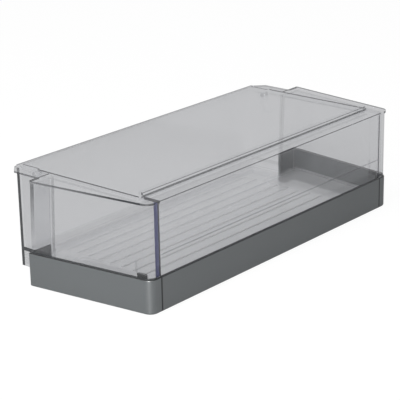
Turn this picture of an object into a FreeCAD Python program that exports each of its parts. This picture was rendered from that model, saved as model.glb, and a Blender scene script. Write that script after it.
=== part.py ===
import FreeCAD, Part
import math
import os

# Refrigerator door shelf with a hinged lid, in millimetres.
# X runs along the front, Y from the front to the door side, Z is up.
# The origin is under the middle of the shelf, on the plane it stands on.

# Driving dimensions of the whole shelf
front_length = 290.0        # between the two front corners, before rounding
end_flare = 0.13            # how far each end leans out per millimetre of depth
step_depth = 105.0          # front face to the outside of the step behind the wide part
step_lean = 2.2             # the step's wall leans to the front by this much above the trim
step_plumb = 3.0            # it is plumb this far under the ledge, so that the door's lug lies flat
neck_width = 276.4          # over the narrow rear part, between the door's ribs
rear_depth = 137.0          # front face to the outside of the rear wall and rim
wall_top = 82.0             # top of the rim and the front panel
corner_radius = 7.0         # front corners, on the outside of the trim
rear_corner_radius = 1.0    # rear corners of the wide part
smallest_radius = 0.8       # for the inner walls of a rounded corner

# Helpers for joining and cutting
bite = 0.5                  # how far forms that are joined run into each other
past = 1.0                  # how far a cut runs past the face it opens
beyond = 200.0              # half width of a cut that takes the whole length
same = 0.01                 # places nearer than this count as one

# Clear bin
clear_wall = 2.2
upper_inset = 0.9           # clear walls above the trim, in from the trim's outside
floor_top = 9.3
rim_thickness = 2.2
rim_lip = 1.0               # wall left beside the lid's edge, across
ledge_width = 10.0          # ledge on each side of the neck
ledge_chamfer = 8.0
ledge_drop = 0.8            # top of the ledge below the rim
neck_foot = 2.8             # the neck's walls end this far above the ground
neck_rib_depth = 123.0      # front face to the short upright rib inside each neck wall
neck_rib_foot = 65.5
neck_rib_reach = 0.8
neck_rib_width = 1.2
shoulder_height = 2.0       # lip under the side edges of the lid
shoulder_width = 1.6
plinth_top = 15.8           # the neck's walls are thicker below this height
plinth_thickness = 1.4
wide_wall_foot = 2.0        # the trim's bottom lip passes under the wide part's walls

# Floor ribs
rib_count = 11
rib_first = 17.7            # front face to the first rib
rib_pitch = 11.3
rib_half_length = 108.0
rib_width = 1.4
rib_height = 0.7

# Grey trim
trim_wall = 2.0
trim_height = 26.0
trim_gap = 0.2              # between trim and clear wall
trim_lip = 5.0
trim_lip_thickness = 1.7
trim_foot_radius = 2.5      # rounded foot at the rear of each end
trim_foot_fillet = 1.4
trim_rim_fillet = 0.8
trim_seat = 0.4             # pocket in the neck's wall for the end of the return
seam_half_length = 134.2    # middle of the shelf to the seams beside the front corners
seam_gap = 0.3

# Front panel
panel_thickness = 3.6
panel_flange_depth = 15.0
panel_seat_depth = 20.0
panel_seat_thickness = 2.0
panel_web = 1.8             # upright between the flange and the lower seat
panel_gap = 0.2             # panel to bin
panel_seat_gap = 0.4        # seat to the lip under the lid's side edge
crease_height = 42.0
crease_width = 0.8
crease_depth = 0.6
crease_margin = 4.0

# Lid
lid_half_width = 136.9
lid_front = 15.3
lid_thickness = 2.2
lid_lift = 0.2              # air under the closed lid
lid_tail = 133.6            # rear edge of the lid
lid_tail_half_width = 135.0
lid_waist = 116.0           # the lid is narrower behind this line
lid_corner_radius = 2.0
grip_depth = 4.2
grip_height = 3.0
grip_half_length = 134.0
grip_fillet = 1.2
cheek_thickness = 2.4
cheek_length = 9.0
cheek_half_width = 133.4    # outer face of each hinge cheek
cheek_below_pin = 1.6

# Hinge
hinge_depth = 119.5         # front face to the hinge axis
hinge_height = 77.4
pin_radius = 1.8
pin_clearance = 0.06
pin_recess = 0.2            # the pin ends this far inside the neck wall's outer face
pin_chamfer = 0.5
pin_root = 3.6              # length of the cheek's bore
opening_angle = 100.0

# Stops and marks on the inside of the neck
stop_length = 7.0
stop_height = 4.0
stop_reach = 2.6
stop_air = 0.1              # between stop and open lid
stop_drop = 1.0             # stop's underside below the lid's tip
guide_rib_width = 1.2
guide_rib_reach = 1.0
guide_rib_top = 37.0

# Corner clips on the end walls, beside the front corners
clip_height = 28.0
clip_front = 8.2
clip_rear = 15.4
clip_thickness = 1.8
clip_air = 0.1              # between clip and end wall
clip_chamfer = 0.8

half_length = front_length / 2
neck_half = neck_width / 2
middle_depth = rear_depth / 2
clear_inset = trim_wall + trim_gap
trim_rear = step_depth + clear_inset    # front face to the outside of the trim's return
rim_bottom = wall_top - rim_thickness
jog_height = trim_height + trim_gap     # the clear walls stand out above this height
jog_inside = jog_height + clear_wall
jog_reach = clear_inset - upper_inset
lid_bottom = rim_bottom + lid_lift
lid_top = lid_bottom + lid_thickness
slope_length = math.sqrt(1 + end_flare ** 2)
rim_step_depth = step_depth - step_lean     # front face to the rear edge of the rim's wide part
opening_half = neck_half - rim_lip


def half_width(depth, inset):
    """Half the shelf's width at a depth, for a face set in from the trim's outside."""
    return half_length + end_flare * depth - inset * slope_length


def box(x0, x1, y0, y1, z0, z1):
    return Part.makeBox(x1 - x0, y1 - y0, z1 - z0, FreeCAD.Vector(x0, y0, z0))


def prism(points, z0, z1):
    corners = [FreeCAD.Vector(x, y, z0) for x, y in points]
    face = Part.Face(Part.makePolygon(corners + corners[:1]))
    return face.extrude(FreeCAD.Vector(0, 0, z1 - z0))


def cylinder_x(radius, x0, x1, y, z):
    return Part.makeCylinder(radius, x1 - x0, FreeCAD.Vector(x0, y, z), FreeCAD.Vector(1, 0, 0))


def mirrored(shape):
    return shape.mirror(FreeCAD.Vector(0, 0, 0), FreeCAD.Vector(1, 0, 0))


def both(points):
    """Close a right-hand outline, given front to rear, with its mirror image."""
    return points + [(-x, y) for x, y in reversed(points)]


def round_uprights(solid, places, radius):
    """Round the vertical edges that stand at the given (x, y) places."""
    edges = []
    for edge in solid.Edges:
        ends = [vertex.Point for vertex in edge.Vertexes]
        if len(ends) != 2 or abs(ends[0].z - ends[1].z) < same:
            continue
        for x, y in places:
            if all(abs(end.x - x) < same and abs(end.y - y) < same for end in ends):
                edges.append(edge)
    return solid.makeFillet(radius, edges)


def wide_corners(inset, step):
    """Front and rear corners of the wide part, on the right."""
    front = (half_width(inset, inset), inset)
    rear = (half_width(step, inset), step)
    return front, rear


def plan_prism(inset, neck_inset, step, z0, z1):
    """A solid of the shelf's plan: the flared wide part and the narrow neck behind it."""
    front, rear = wide_corners(inset, step)
    neck = neck_half - neck_inset
    outline = both([front, rear, (neck, step), (neck, rear_depth - neck_inset)])
    solid = prism(outline, z0, z1)
    fronts = [front, (-front[0], front[1])]
    rears = [rear, (-rear[0], rear[1])]
    solid = round_uprights(solid, fronts, max(corner_radius - inset, smallest_radius))
    return round_uprights(solid, rears, max(rear_corner_radius - inset, smallest_radius))


def rim_plate():
    """The flat rim round the lid."""
    front, rear = wide_corners(0, rim_step_depth)
    outline = both([front, rear, (neck_half, rim_step_depth), (neck_half, rear_depth)])
    plate = prism(outline, rim_bottom, wall_top)
    fronts = [front, (-front[0], front[1])]
    rears = [rear, (-rear[0], rear[1])]
    plate = round_uprights(plate, fronts, corner_radius)
    plate = round_uprights(plate, rears, rear_corner_radius)
    lid_opening = box(-opening_half, opening_half, panel_flange_depth,
                      rear_depth - clear_wall, rim_bottom - past, wall_top + past)
    flange_opening = box(-seam_half_length, seam_half_length, -past,
                         panel_flange_depth + past, rim_bottom - past, wall_top + past)
    return plate.cut(lid_opening).cut(flange_opening)


def door_ledge():
    """The ledge beside the neck that lies on the door's lug, a little below the rim."""
    inner = neck_half - bite
    outer = neck_half + ledge_width
    corners = [
        (inner, rim_step_depth - bite),
        (outer, rim_step_depth - bite),
        (outer, rear_depth - ledge_chamfer),
        (outer - ledge_chamfer, rear_depth),
        (inner, rear_depth),
    ]
    return prism(corners, rim_bottom, wall_top - ledge_drop)


def lid_shoulder():
    """A lip hanging from the rim's inner edge in the wide part, under the lid's side edge."""
    rear = rim_step_depth - clear_wall / 2
    inner = neck_half - clear_wall
    upright = box(opening_half, opening_half + shoulder_width, panel_seat_depth, rear,
                  rim_bottom - shoulder_height, rim_bottom)
    foot = box(inner, opening_half, panel_seat_depth, rear,
               rim_bottom - shoulder_height, rim_bottom)
    return upright.fuse(foot)


def neck_plinth():
    """The thicker foot of the neck's side and rear walls, on the inside."""
    outer = neck_half - clear_wall / 2
    inner = neck_half - clear_wall - plinth_thickness
    rear = rear_depth - clear_wall
    front = step_depth - clear_wall / 2
    z0 = floor_top - bite
    block = box(-outer, outer, front, rear + clear_wall / 2, z0, plinth_top)
    hollow = box(-inner, inner, front - past, rear - plinth_thickness,
                 z0 - past, plinth_top + past)
    return block.cut(hollow)


def floor_ribs():
    """Low ribs along the floor that keep what stands on it out of the wet."""
    ribs = []
    for index in range(rib_count):
        y = rib_first + index * rib_pitch
        ribs.append(box(-rib_half_length, rib_half_length, y - rib_width / 2, y + rib_width / 2,
                        floor_top - bite, floor_top + rib_height))
    return ribs


def neck_rib():
    """A short upright rib inside the neck's wall, behind the hinge."""
    wall = neck_half - clear_wall
    return box(wall - neck_rib_reach, wall + bite,
               neck_rib_depth - neck_rib_width / 2, neck_rib_depth + neck_rib_width / 2,
               neck_rib_foot, rim_bottom)


def tail_face_depth():
    """Where the underside of the lid's tail stands when the lid is fully open."""
    angle = math.radians(opening_angle)
    tail = lid_tail - hinge_depth
    under = lid_bottom - hinge_height
    return hinge_depth + tail * math.cos(angle) + under * math.sin(angle)


def tail_tip_height():
    angle = math.radians(opening_angle)
    return hinge_height - (lid_tail - hinge_depth) * math.sin(angle)


def lid_stop():
    """The block on the neck's wall that the lid's tail meets when it is fully open."""
    wall = neck_half - clear_wall
    rear = tail_face_depth() - stop_air
    z0 = tail_tip_height() - stop_drop
    return box(wall - stop_reach, wall + bite, rear - stop_length, rear, z0, z0 + stop_height)


def clip_guide():
    """A fine upright rib on the end wall, at the rear of the corner clip."""
    wall = half_width(clip_rear, clear_inset + clear_wall)
    return box(wall - guide_rib_reach, wall + jog_reach + bite, clip_rear + clip_air,
               clip_rear + clip_air + guide_rib_width, floor_top - bite, guide_rib_top)


def step_wedge(depth, inner):
    """The space behind the right step's wall, which leans to the front above the trim."""
    top = wall_top + past
    corners = [
        FreeCAD.Vector(inner, depth, jog_height),
        FreeCAD.Vector(inner, depth + past, jog_height),
        FreeCAD.Vector(inner, depth + past, top),
        FreeCAD.Vector(inner, depth - step_lean, top),
        FreeCAD.Vector(inner, depth - step_lean, rim_bottom - step_plumb),
    ]
    face = Part.Face(Part.makePolygon(corners + corners[:1]))
    return face.extrude(FreeCAD.Vector(beyond - inner, 0, 0))


def bin_shell():
    """Floor and walls. The walls stand out by a small jog above the trim."""
    step_inside = step_depth - clear_wall
    lower = plan_prism(clear_inset, 0, step_depth, 0, jog_height)
    upper = plan_prism(upper_inset, 0, step_depth, jog_height, rim_bottom + bite)
    lower_room = plan_prism(clear_inset + clear_wall, clear_wall, step_inside, floor_top, jog_inside)
    upper_room = plan_prism(upper_inset + clear_wall, clear_wall, step_inside,
                            jog_inside, wall_top + past)
    under_floor = plan_prism(clear_inset + clear_wall, clear_wall, step_inside,
                             -past, floor_top - clear_wall)
    behind = step_wedge(step_depth, neck_half)
    outside = lower.fuse(upper).cut(behind).cut(mirrored(behind))
    wall_behind = step_wedge(step_inside, neck_half - clear_wall)
    room = lower_room.fuse(upper_room).cut(wall_behind).cut(mirrored(wall_behind))
    return outside.cut(room).cut(under_floor)


def make_bin():
    """One clear moulding: floor, end walls, steps, neck, rear wall, rim and ribs."""
    body = bin_shell()
    under_wide = box(-beyond, beyond, -past, step_depth, -past, wide_wall_foot)
    under_neck = box(-beyond, beyond, step_depth - past, rear_depth + past, -past, neck_foot)
    body = body.cut(under_wide).cut(under_neck)
    front_opening = box(-seam_half_length, seam_half_length, -past,
                        clear_inset + panel_thickness + panel_gap, -past, wall_top + past)
    body = body.cut(front_opening)
    pieces = [rim_plate(), neck_plinth()] + floor_ribs()
    for part in (door_ledge(), lid_shoulder(), lid_stop(), clip_guide(), neck_rib()):
        pieces += [part, mirrored(part)]
    body = body.multiFuse(pieces)
    lid_room = box(-opening_half, opening_half, panel_flange_depth,
                   rear_depth - clear_wall, rim_bottom, wall_top + past)
    body = body.cut(lid_room)
    hole = cylinder_x(pin_radius + pin_clearance, neck_half - clear_wall - past, neck_half + past,
                      hinge_depth, hinge_height)
    body = body.cut(hole).cut(mirrored(hole))
    pocket = trim_end_pocket()
    return body.cut(pocket).cut(mirrored(pocket)).removeSplitter()


def trim_end_pocket():
    """The shallow pocket in the neck's wall that takes the end of the trim's return."""
    return box(neck_half - trim_seat, neck_half + past,
               step_depth, trim_rear + trim_gap, -past, trim_height + trim_gap)


def make_front_panel():
    """The clear front: an upright sheet with a flange folded back to the lid."""
    end = seam_half_length - seam_gap / 2
    face = clear_inset
    back = face + panel_thickness
    foot = box(-end, end, face, back, wide_wall_foot, jog_height)
    sheet = box(-end, end, upper_inset, back, jog_height, wall_top)
    flange = box(-end, end, 0, panel_flange_depth - panel_gap, rim_bottom, wall_top)
    web_back = panel_flange_depth - panel_gap
    web = box(-end, end, web_back - panel_web, web_back,
              rim_bottom - panel_seat_thickness, wall_top)
    seat = box(-end, end, web_back - panel_web, panel_seat_depth - panel_seat_gap,
               rim_bottom - panel_seat_thickness, rim_bottom)
    crease = box(-end + crease_margin, end - crease_margin,
                 upper_inset - past, upper_inset + crease_depth,
                 crease_height - crease_width / 2, crease_height + crease_width / 2)
    return foot.multiFuse([sheet, flange, seat, web]).cut(crease).removeSplitter()


def level_edges(solid, height):
    """The edges that lie wholly at one height."""
    return [edge for edge in solid.Edges
            if abs(edge.BoundBox.ZMin - height) < same and abs(edge.BoundBox.ZMax - height) < same]


def trim_shell():
    """Both end trims and the strip between them, before the seams part them."""
    top = trim_height + past
    outer = plan_prism(0, trim_gap, trim_rear, 0, trim_height)
    outer = outer.makeFillet(trim_foot_fillet, level_edges(outer, 0))
    outer = outer.makeFillet(trim_rim_fillet, level_edges(outer, trim_height))
    neck = neck_half - trim_gap
    outer = outer.cut(box(-neck, neck, step_depth, rear_depth + past, -past, top))
    wall = outer.cut(plan_prism(trim_wall, trim_gap, trim_rear - trim_wall, -past, top))
    lip = outer.common(box(-beyond, beyond, -past, trim_rear + past, 0, trim_lip_thickness))
    within = plan_prism(trim_wall + trim_lip, trim_gap, trim_rear - trim_wall - trim_lip, -past, top)
    behind = box(-neck, neck, trim_wall + trim_lip, trim_rear, -past, top)
    return wall.fuse(lip.cut(within).cut(behind)).removeSplitter()


def make_end_trim():
    """The grey trim of the right end: front corner, end wall and the return behind the step."""
    side = box(seam_half_length + seam_gap / 2, beyond, -past, trim_rear + past,
               -past, trim_height + past)
    heel = trim_rear - trim_foot_radius
    foot = box(-beyond, beyond, heel, trim_rear + past, -past, trim_foot_radius)
    foot = foot.cut(cylinder_x(trim_foot_radius, -beyond, beyond, heel, trim_foot_radius))
    return trim_shell().common(side).cut(foot)


def make_front_trim():
    """The grey strip along the front, with its lip under the panel."""
    end = seam_half_length - seam_gap / 2
    return trim_shell().common(box(-end, end, -past, step_depth, -past, trim_height + past))


def make_corner_clip():
    """The dark clip beside the right front corner that holds the trim to the bin."""
    inset = clear_inset + clear_wall + clip_air
    outer_front = half_width(clip_front, inset)
    outer_rear = half_width(clip_rear, inset)
    block = prism([
        (outer_front - clip_thickness, clip_front),
        (outer_front, clip_front),
        (outer_rear, clip_rear),
        (outer_rear - clip_thickness, clip_rear),
    ], floor_top, clip_height)
    top_front = [edge for edge in block.Edges if is_top_front(edge, clip_front)]
    return block.makeChamfer(clip_chamfer, top_front)


def is_top_front(edge, depth):
    ends = [vertex.Point for vertex in edge.Vertexes]
    return all(abs(end.z - clip_height) < same and abs(end.y - depth) < same for end in ends)


def make_lid():
    """The clear lid: a flat plate, a grip along its front edge and two hinge cheeks."""
    outline = both([
        (lid_half_width, lid_front),
        (lid_half_width, lid_waist),
        (lid_tail_half_width, lid_waist),
        (lid_tail_half_width, lid_tail),
    ])
    plate = prism(outline, lid_bottom, lid_top)
    corners = [(lid_half_width, lid_front), (-lid_half_width, lid_front)]
    plate = round_uprights(plate, corners, lid_corner_radius)
    grip = box(-grip_half_length, grip_half_length, lid_front, lid_front + grip_depth,
               lid_top - bite, lid_top + grip_height)
    grip = grip.makeFillet(grip_fillet, [edge for edge in grip.Edges if is_grip_top(edge)])
    cheek = box(cheek_half_width - cheek_thickness, cheek_half_width,
                hinge_depth - cheek_length / 2, hinge_depth + cheek_length / 2,
                hinge_height - pin_radius - cheek_below_pin, lid_bottom + bite)
    lid = plate.multiFuse([grip, cheek, mirrored(cheek)])
    bore = cylinder_x(pin_radius, cheek_half_width - pin_root, cheek_half_width + past,
                      hinge_depth, hinge_height)
    return lid.cut(bore).cut(mirrored(bore)).removeSplitter()


def is_grip_top(edge):
    return all(abs(vertex.Point.z - lid_top - grip_height) < same for vertex in edge.Vertexes)


def make_hinge_pin():
    """The pin on the right: held in the lid's cheek, turning in the neck's wall."""
    x0 = cheek_half_width - cheek_thickness
    x1 = neck_half - pin_recess
    shaft = cylinder_x(pin_radius, x0, x1, hinge_depth, hinge_height)
    end_edges = [edge for edge in shaft.Edges if edge.BoundBox.XMin > x1 - same]
    return shaft.makeChamfer(pin_chamfer, end_edges)


def write_node(name, shape):
    shape = shape.copy()
    shape.translate(FreeCAD.Vector(0, -middle_depth, 0))
    shape.exportStep("parts/" + name + ".step")
    bounds = shape.BoundBox
    print(name, "solids", len(shape.Solids), "valid", shape.isValid(),
          "volume", round(shape.Volume), "size", round(bounds.XLength, 1),
          round(bounds.YLength, 1), round(bounds.ZLength, 1))


def main():
    os.makedirs("parts", exist_ok=True)
    end_trim = make_end_trim()
    clip = make_corner_clip()
    pin = make_hinge_pin()
    write_node("bin", make_bin())
    write_node("front_panel", make_front_panel())
    write_node("front_trim", make_front_trim())
    write_node("end_trim_right", end_trim)
    write_node("end_trim_left", mirrored(end_trim))
    write_node("corner_clip_right", clip)
    write_node("corner_clip_left", mirrored(clip))
    write_node("lid", make_lid())
    write_node("hinge_pin_right", pin)
    write_node("hinge_pin_left", mirrored(pin))


main()
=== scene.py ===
import bpy
import math
from mathutils import Matrix, Vector


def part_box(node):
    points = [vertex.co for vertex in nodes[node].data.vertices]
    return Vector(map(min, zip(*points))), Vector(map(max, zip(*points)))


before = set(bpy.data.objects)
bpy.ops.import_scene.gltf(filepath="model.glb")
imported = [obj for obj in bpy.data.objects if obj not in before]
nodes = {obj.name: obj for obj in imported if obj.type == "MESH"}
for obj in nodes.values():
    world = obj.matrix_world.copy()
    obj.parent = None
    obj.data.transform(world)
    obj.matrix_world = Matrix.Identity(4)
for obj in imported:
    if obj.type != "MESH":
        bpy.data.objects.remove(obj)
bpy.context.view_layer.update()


# The bin: one clear moulding of floor, walls, neck and rim, faintly smoke-tinted.
# It is injection moulded and polished, so the faces are clear and mirror a little.
# Its cut edges and corners are drawn dark with painted shade, standing in for their refraction.
class Value:
    """A node's output that takes part in sums; each sum adds its own node."""

    def __init__(self, finish, socket):
        self.finish = finish
        self.socket = socket

    def math(self, operation, first, second):
        return self.finish.add("ShaderNodeMath", {"operation": operation}, {0: first, 1: second})

    def __add__(self, other):
        return self.math("ADD", self, other)

    def __radd__(self, other):
        return self.math("ADD", other, self)

    def __sub__(self, other):
        return self.math("SUBTRACT", self, other)

    def __rsub__(self, other):
        return self.math("SUBTRACT", other, self)

    def __mul__(self, other):
        return self.math("MULTIPLY", self, other)

    def __rmul__(self, other):
        return self.math("MULTIPLY", other, self)

    def __pow__(self, other):
        return self.math("POWER", self, other)

    def __gt__(self, other):
        return self.math("GREATER_THAN", self, other)

    def __lt__(self, other):
        return self.math("LESS_THAN", self, other)

    def __abs__(self):
        return self.math("ABSOLUTE", self, 0.0)

    def at_least(self, other):
        return self.math("MAXIMUM", self, other)

    def at_most(self, other):
        return self.math("MINIMUM", self, other)

    def between(self, low, high):
        return (self > low) * (self < high)

    def near(self, place, reach):
        return abs(self - place) < reach

    def ramp(self, start, end):
        """0 up to start, 1 from end on, and even between them."""
        return ((self - start) * (1.0 / (end - start))).at_least(0.0).at_most(1.0)


class Finish:
    """The nodes of one piece's material, or of the sky."""

    def __init__(self, owner):
        owner.use_nodes = True
        self.owner = owner
        self.tree = owner.node_tree
        self.tree.nodes.clear()

    def add(self, kind, settings=None, sockets=None, out=0):
        node = self.tree.nodes.new(kind)
        for name, setting in (settings or {}).items():
            setattr(node, name, setting)
        for name, value in (sockets or {}).items():
            if isinstance(value, Value):
                self.tree.links.new(value.socket, node.inputs[name])
            else:
                node.inputs[name].default_value = value
        return Value(self, node.outputs[out]) if node.outputs else None

    def point(self):
        return self.add("ShaderNodeTexCoord", out=3)

    def place(self):
        """The x, y and z of the surface in metres, in the shelf's own frame."""
        return self.parts(self.point())

    def front(self):
        """1 where the face is looked at from its own side, 0 where it is seen through the piece."""
        return 1.0 - self.add("ShaderNodeNewGeometry", out=6)

    def facing(self):
        """The x, y and z of the face's outward direction, which turns with the piece."""
        outward = 2.0 * self.front() - 1.0
        return tuple(outward * part for part in self.parts(self.add("ShaderNodeTexCoord", out=1)))

    def parts(self, vector):
        node = self.add("ShaderNodeSeparateXYZ", sockets={0: vector}).socket.node
        return tuple(Value(self, socket) for socket in node.outputs)

    def noise(self, scale):
        return self.add("ShaderNodeTexNoise", sockets={"Vector": self.point(), "Scale": scale, "Detail": 2.0})

    def blend(self, share, first, second):
        return self.add("ShaderNodeMix", {"data_type": "RGBA"}, {0: share, 6: first, 7: second}, out=2)

    def mix(self, share, first, second):
        return self.add("ShaderNodeMixShader", sockets={0: share, 1: first, 2: second})

    def show(self, shader, piece):
        self.add("ShaderNodeOutputMaterial", sockets={"Surface": shader})
        piece.data.materials[0] = self.owner


def drawn(*lines):
    """Painted shade in dark lines, each a mask with how dark it is; where two meet, the darker one shows."""
    edge = 0.0
    for mask, dark in lines:
        edge = (mask * dark).at_least(edge)
    return edge


def clear_plastic(finish, haze, edge, edge_colour, mirror=1.0):
    """Clear sheet: faintly tinted light through it, a mirror that grows to the edge of
    sight, a thin haze, and painted shade, a dark, nearly solid look, where the mask edge is set."""
    cloud = finish.noise(18.0)
    grain = finish.noise(900.0)
    slant = finish.add("ShaderNodeLayerWeight", sockets={"Blend": 0.5}, out=1)
    through = finish.add("ShaderNodeBsdfTransparent", sockets={"Color": (*smoke, 1.0)})
    ripple = finish.add("ShaderNodeBump", sockets={"Strength": 0.04, "Distance": 0.0004, "Height": cloud})
    gloss = finish.add("ShaderNodeBsdfPrincipled", sockets={
        "Base Color": (0.97, 0.97, 0.975, 1.0),
        "Metallic": 1.0,
        "Roughness": 0.05 + 0.03 * grain,
        "Normal": ripple,
    })
    mist = finish.add("ShaderNodeBsdfPrincipled", sockets={
        "Base Color": finish.blend(cloud, (*mist_low, 1.0), (*mist_high, 1.0)),
        "Roughness": 0.35 + 0.1 * grain,
    })
    solid = finish.add("ShaderNodeBsdfPrincipled", sockets={
        "Base Color": edge_colour,
        "Roughness": 0.2 + 0.1 * grain,
    })
    reflection = (0.04 + 0.9 * slant ** 5.0) * mirror * (0.85 + 0.15 * cloud)
    misty = finish.mix(haze * (0.8 + 0.4 * cloud), through, mist)
    return finish.mix(edge, finish.mix(reflection, misty, gloss), solid)


smoke = (0.977, 0.978, 0.981)
mist_low = (0.58, 0.585, 0.6)
mist_high = (0.66, 0.665, 0.68)
# the colour of the painted shade on the clear edges
edge_shade_grey = (0.03, 0.033, 0.037)
haze = 0.02
floor_haze = 0.62
plinth_haze = 0.12

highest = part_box("bin")[1]
rim_top = highest.z
rear = highest.y
touch = 0.0001           # a place nearer than this is on the face
fine_line = 0.0009       # how wide most of the dark lines are
broad_line = 0.0017
rim_bottom = 0.0798
ledge_top = 0.0812
neck_half = 0.1382
neck_inside = 0.136
round_until = -0.0615    # the front corners are round up to here
step_foot = 0.0365       # outside of the step's wall at the jog
step_rim = 0.0343        # and under the rim
jog = 0.0262             # the clear walls stand further out above this height
plinth_top = 0.0158
floor_top = 0.0093
rib_top = 0.01
rib_half = 0.108
front_half = 0.145
end_flare = 0.13         # the end walls lean out by this much per metre of depth
wide_half = front_half + end_flare * rear
wall_inside = 0.0057     # from the trim's outside to just inside the foot of the clear wall
shade_top = 0.055        # painted shade on the end walls grows from here down
shade_full = 0.0264
corner_pale = 0.0336     # painted shade in the wide part's rear corners grows from here up
corner_full = 0.0729
hazy_until = -0.02       # the floor's haze thins out from here to the rear
thin_from = 0.03
end_fade = 0.0033        # the floor's ends turn hazier over this length past the ribs
step_fade = 0.0167       # and clear again over this length before the step

finish = Finish(bpy.data.materials.new("clear smoke plastic of the bin"))
x, y, z = finish.place()
nx, ny, nz = finish.facing()
across = abs(x)
flat = abs(nz) > 0.5
upright = 1.0 - flat
outer = (nx * x + ny * y) > 0.0
front = finish.front()
below_rim = z < rim_bottom
step = step_foot - (z - jog) * ((step_foot - step_rim) / (rim_bottom - jog))

# Each dark line is painted shade that stands in for the clear plastic's edges and corners
# refracting darker things: a band of the faces, given in metres from a named edge. The
# rim's lines are stronger on the near faces than on those seen through the piece, and
# there they darken from the step to the front.
rounded = y < round_until
rim_dark = 0.5 + 0.59 * y.ramp(step_foot, round_until) * (1.0 - rounded) + 0.3 * rounded
near_rim = z.between(rim_top - broad_line, rim_top - 2.0 * touch) * rim_dark * front
far_rim = z.between(rim_top - fine_line, rim_top - touch) * (1.0 - front)
end_rim = upright * outer * (across > neck_half + touch) * (y < step_rim - touch)
rear_rim = upright * (y > rear - touch) * z.between(rim_top - fine_line, rim_top - 2.0 * touch)
step_edge = upright * (ny > 0.5) * y.near(step_rim, 2.0 * touch)
step_edge = step_edge * z.between(rim_top - broad_line + touch, rim_top + touch)
ledge_edge = upright * outer * (across > neck_half + touch) * (y > step_rim + 2.0 * touch)
ledge_edge = ledge_edge * z.between(rim_bottom, ledge_top)
neck_corner = front * (across > neck_half - touch) * (y > rear - 0.0028) * below_rim
neck_side = upright * across.near(neck_half, touch) * (y > step_rim)
plinth_edge = neck_side * z.between(plinth_top - 0.0006, plinth_top + 0.0023)
# Painted shade in the wide part's rear corners, deeper higher up.
wide_corner_shade = front * outer * (abs(nx) > 0.5) * (across > neck_half + 0.01) * (y > step - 0.0034) * below_rim
corner_dark = 0.05 + 0.55 * z.ramp(corner_pale, corner_full)
step_corner = upright * across.between(neck_inside - 2.0 * touch, neck_half + 2.0 * touch) * below_rim
step_corner = step_corner * (y - step).between(-0.0024, 0.0008)
jog_edge = upright * outer * z.between(jog - touch, jog + 0.001) * (across > neck_half + touch)
# A faint grey on the outer faces of the end walls and the neck's sides, and painted shade that deepens
# towards the foot of the end walls.
end_wall_grey_and_shade = (across > neck_half + 0.001) * (0.04 + 0.06 * z.ramp(shade_top, shade_full))
wall_grey_and_shade = end_wall_grey_and_shade.at_least((across > neck_half - touch) * 0.025)
wall_grey_and_shade = wall_grey_and_shade * upright * outer * below_rim * (y < rear - touch)
rib_side = upright * z.between(floor_top + touch, rib_top + touch)
floor_face = flat * z.near(floor_top, touch)
# Painted shade on the floor along the foot of the clear end walls.
wall_foot_shade = floor_face * ((across - end_flare * y) > wide_half - wall_inside) * (y < step_foot)
floor_end = across.ramp(rib_half, rib_half + end_fade) * y.ramp(step_foot, step_foot - step_fade)

edge = drawn(
    (end_rim * near_rim, 1.0),
    (end_rim * far_rim, 0.7),
    (rear_rim, 0.5),
    (step_edge, 0.85),
    (ledge_edge, 0.35 + 0.3 * front),
    (neck_corner, 0.95),
    (plinth_edge, 0.15 + 0.8 * front),
    (wide_corner_shade, corner_dark),
    (step_corner, 0.17),
    (jog_edge, 0.8),
    (wall_grey_and_shade, 1.0),
    (rib_side * (ny < -0.5), 0.09 * finish.noise(60.0)),
    (flat * z.near(plinth_top, touch), 0.06),
    (wall_foot_shade, 0.5),
    (floor_face * floor_end, 0.1),
)

# The floor and the sides of its ribs are hazy, most of all in front and at both ends.
floor = (flat * z.between(floor_top - touch, rib_top + touch)).at_least(rib_side) * floor_haze
floor = floor * (1.0 - 0.6 * y.ramp(hazy_until, thin_from) * (1.0 - floor_end))
plinth = upright * (y > rear - 0.004) * (z < plinth_top) * plinth_haze
cloudy = haze + floor.at_least(plinth)
finish.show(clear_plastic(finish, cloudy, edge, (*edge_shade_grey, 1.0), mirror=1.0 - rib_side), nodes["bin"])

# The front panel: a clear sheet of its own between the rounded corners, with a flange on top.
# It is moulded flat, and its cut ends catch the blue of the tint; their front edge, the
# crease and the panel's other dark lines are painted shade.
lowest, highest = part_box("front_panel")
panel_end = highest.x
flange_front = lowest.y
panel_front = -0.0676
crease_height = 0.042
end_depth = 0.0059       # of the cut end that shows beside the corner
night_depth = 0.001      # its front edge gets painted shade, and the rest from blue_from on is blue
blue_from = 0.0014
edge_blue = (0.055, 0.06, 0.14)
edge_shade_black = (0.012, 0.012, 0.02)

finish = Finish(bpy.data.materials.new("clear smoke plastic of the front panel"))
x, y, z = finish.place()
nx, ny, nz = finish.facing()
front = finish.front()
below_rim = z < rim_bottom
end_face = (abs(x) > panel_end - touch) * (abs(nx) > 0.5)
front_face = (abs(nz) < 0.5) * (ny < -0.5)
edge = drawn(
    (end_face * below_rim * (y < panel_front + end_depth),
     ((y < panel_front + night_depth) * 0.75).at_least(front)),
    (end_face * (z > rim_bottom), front),
    (front_face * (y < flange_front + touch) * z.between(rim_top - fine_line, rim_top - touch), 0.7),
    (front_face * (y < panel_front + touch) * z.between(jog - touch, jog + 0.0007), 0.8),
    # painted shade along a crease across the sheet
    ((y < panel_front + 0.0007) * z.near(crease_height, 0.0004), 0.25),
)
blue = (y > panel_front + blue_from) * below_rim * end_face
colour = finish.blend(blue, (*edge_shade_black, 1.0), (*edge_blue, 1.0))
finish.show(clear_plastic(finish, haze, edge, colour), nodes["front_panel"])


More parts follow.
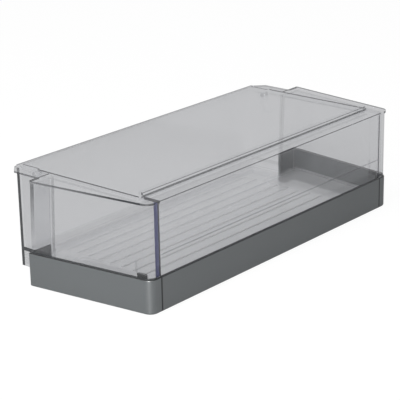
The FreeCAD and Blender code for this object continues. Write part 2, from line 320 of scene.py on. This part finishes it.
# The trim: a strip along the front and one round each end, satin grey ABS.
# They clip under the clear mouldings, with open seams beside the front corners.
def satin_plastic(finish, colour, roughness, dark):
    """Fine-grained satin plastic, darker where the mask dark is set."""
    cloud = finish.noise(9.0)
    grain = finish.noise(1400.0)
    grey = finish.blend(cloud, (*(0.94 * c for c in colour), 1.0), (*(1.06 * c for c in colour), 1.0))
    bump = finish.add("ShaderNodeBump", sockets={"Strength": 0.25, "Distance": 0.00003, "Height": grain})
    return finish.add("ShaderNodeBsdfPrincipled", sockets={
        "Base Color": finish.blend(dark, grey, (*(0.15 * c for c in colour), 1.0)),
        "Roughness": roughness - 0.04 + 0.08 * cloud,
        "Normal": bump,
    })


trim_grey = (0.128, 0.138, 0.142)
trim_shoulder = 0.025    # above this the trim's top turns in to the clear wall
seam_half = (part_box("front_trim")[1].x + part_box("end_trim_right")[0].x) / 2
for name in ("front_trim", "end_trim_left", "end_trim_right"):
    finish = Finish(bpy.data.materials.new("satin grey plastic of " + name.replace("_", " ")))
    x, y, z = finish.place()
    nz = finish.facing()[2]
    # Painted shadow on the trim's top, under the clear wall, and in the seams beside the front corners.
    dark = drawn(((nz > 0.4) * (z > trim_shoulder), 0.95), (abs(x).near(seam_half, 0.0008), 0.9))
    finish.show(satin_plastic(finish, trim_grey, 0.32, dark), nodes[name])

# The corner clips: two small grey mouldings on the end walls beside the front corners.
# Each locks an end of the panel to the bin. Its head above the trim looks dark.
clip_grey = (0.115, 0.12, 0.124)
clip_head = 0.0255
for name in ("corner_clip_left", "corner_clip_right"):
    finish = Finish(bpy.data.materials.new("dark plastic of " + name.replace("_", " ")))
    dark = (finish.place()[2] > clip_head) * 0.75
    finish.show(satin_plastic(finish, clip_grey, 0.4, dark), nodes[name])

# The lid: a clear plate with a grip along its front edge and two cheeks for the hinge.
# It is moulded of the bin's plastic, and lies on the seat behind the front panel.
lowest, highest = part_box("lid")
lid_half = highest.x
grip_front = lowest.y
grip_top = highest.z
lid_top = 0.0822
lid_waist = 0.0475       # the lid is a little narrower behind this
grip_half = 0.134
grip_end_depth = 0.0018

finish = Finish(bpy.data.materials.new("clear smoke plastic of the lid"))
x, y, z = finish.place()
nx, ny, nz = finish.facing()
across = abs(x)
upright = abs(nz) < 0.5
front = finish.front()
grip_face = upright * (y < grip_front + touch)
grip_end = (across > grip_half - touch) * (abs(nx) > 0.5) * (z > lid_top) * (y < grip_front + grip_end_depth)
# Painted shade along the lid's edges, the grip's lines and the grip's ends.
edge = drawn(
    (upright * (across > lid_half - touch) * z.between(lid_top - fine_line, lid_top + touch), 0.85),
    (upright * (y > lid_waist) * z.between(lid_top - 0.0006, lid_top + touch), 0.25 + 0.35 * (abs(nx) > 0.5)),
    (grip_face * z.between(grip_top - 0.0012, grip_top + touch), 0.7),
    (grip_face * z.between(lid_top - 0.0014, lid_top + 0.0004), 0.7),
    (grip_end, 0.15 + 0.5 * front),
)
finish.show(clear_plastic(finish, haze, edge, (*edge_shade_grey, 1.0)), nodes["lid"])

# The hinge pins: short clear pegs held in the lid's cheeks, turning in the neck's walls.
# They are moulded of the same plastic, and their flat ends get a little painted shade.
for name in ("hinge_pin_left", "hinge_pin_right"):
    finish = Finish(bpy.data.materials.new("clear plastic of " + name.replace("_", " ")))
    pin_end_shade = (abs(finish.facing()[0]) > 0.5) * 0.3
    finish.show(clear_plastic(finish, haze, pin_end_shade, (*edge_shade_grey, 1.0)), nodes[name])

# The table: a plain white floor that keeps the shelf's shadow, under a white sky.
# Both are pure white where the camera looks straight at them. Through the plastic, and
# mirrored in it, they are the studio's light grey.
ground_grey = (0.58, 0.583, 0.592, 1.0)
white = (1.0, 1.0, 1.0, 1.0)
shadow_share = 0.12      # of the table's look that takes the shelf's shadow
table_white = 1.06       # makes up for that share, so that the table is pure white round the shadow
sky_light = 0.3

bpy.context.scene.cycles.transparent_max_bounces = 48    # many clear faces stand one behind another
bpy.ops.mesh.primitive_plane_add(size=8.0, location=(0, 0, 0))
table = bpy.context.object
table.name = "table"
table.data.materials.append(None)


def looks(finish):
    """Two masks: where the camera, a mirror or the plastic looks at the surface, and
    where the camera looks at it with nothing in between."""
    node = finish.add("ShaderNodeLightPath").socket.node
    camera, glossy, transmission, depth = [
        Value(finish, node.outputs[name])
        for name in ("Is Camera Ray", "Is Glossy Ray", "Is Transmission Ray", "Transparent Depth")]
    return camera.at_least(glossy).at_least(transmission), camera * (depth < 0.5)


finish = Finish(bpy.data.materials.new("white table"))
seen, direct = looks(finish)
paper = finish.add("ShaderNodeBsdfDiffuse", sockets={"Color": (0.9, 0.9, 0.9, 1.0)})
grey_glow = finish.add("ShaderNodeEmission", sockets={"Color": ground_grey, "Strength": 1.0})
white_glow = finish.add("ShaderNodeEmission", sockets={"Color": white, "Strength": table_white})
glow = finish.mix(direct, grey_glow, white_glow)
finish.show(finish.mix(seen * (1.0 - shadow_share), paper, glow), table)

sky = Finish(bpy.data.worlds.new("studio"))
bpy.context.scene.world = sky.owner
seen, direct = looks(sky)
light = sky.add("ShaderNodeBackground", sockets={"Color": white, "Strength": sky_light})
grey_sky = sky.add("ShaderNodeBackground", sockets={"Color": ground_grey, "Strength": 1.0})
white_sky = sky.add("ShaderNodeBackground", sockets={"Color": white, "Strength": 1.0})
around = sky.mix(direct, sky.mix(seen, light, grey_sky), white_sky)
sky.add("ShaderNodeOutputWorld", sockets={"Surface": around})


# The lamps: two large soft discs from the left and above, and a small one for the front.
# A strip shows only as the bright line that it draws down the trim's left corner.
def softbox(name, place, target, size, watts):
    lamp = bpy.data.lights.new(name, "AREA")
    lamp.shape = "DISK"
    lamp.size = size
    lamp.energy = watts
    box = bpy.data.objects.new(name, lamp)
    box.location = place
    box.rotation_euler = (Vector(target) - Vector(place)).to_track_quat("-Z", "Y").to_euler()
    bpy.context.scene.collection.objects.link(box)
    return box


softbox("key", place=(-1.0, -0.05, 0.7), target=(-0.05, 0.0, 0.04), size=0.6, watts=6.9)
softbox("top", place=(0.1, 0.3, 1.5), target=(0.0, 0.0, 0.04), size=0.9, watts=4.5)
softbox("front card", place=(-0.48, -0.5, 0.1), target=(-0.1, -0.05, 0.03), size=0.2, watts=1.1)
strip = softbox("strip", place=(-1.0, -0.57, 0.09), target=(-0.14, -0.06, 0.013), size=0.15, watts=36.0)
strip.visible_diffuse = False

# The camera: front left and above, at the distance from which the shelf's long lines
# draw together as much as the real one's. Its focal length is in pixels of the picture.
turn, drop, roll = math.radians(49.333), math.radians(19.441), math.radians(-1.115)
stand = (-0.83651, -0.70805, 0.41707)
focal_length = 1485.6
picture_width = 400
sensor_width = 36.0

ahead = Vector((math.sin(turn) * math.cos(drop), math.cos(turn) * math.cos(drop), -math.sin(drop)))
level = ahead.cross(Vector((0, 0, 1))).normalized()
above = level.cross(ahead)
right = math.cos(roll) * level + math.sin(roll) * above
above = math.cos(roll) * above - math.sin(roll) * level
lens = bpy.data.cameras.new("camera")
lens.sensor_width = sensor_width
lens.lens = sensor_width * focal_length / picture_width
camera = bpy.data.objects.new("camera", lens)
camera.matrix_world = Matrix.Translation(stand) @ Matrix((right, above, -ahead)).transposed().to_4x4()
bpy.context.scene.collection.objects.link(camera)
bpy.context.scene.camera = camera
bpy.context.scene.view_settings.view_transform = "Standard"
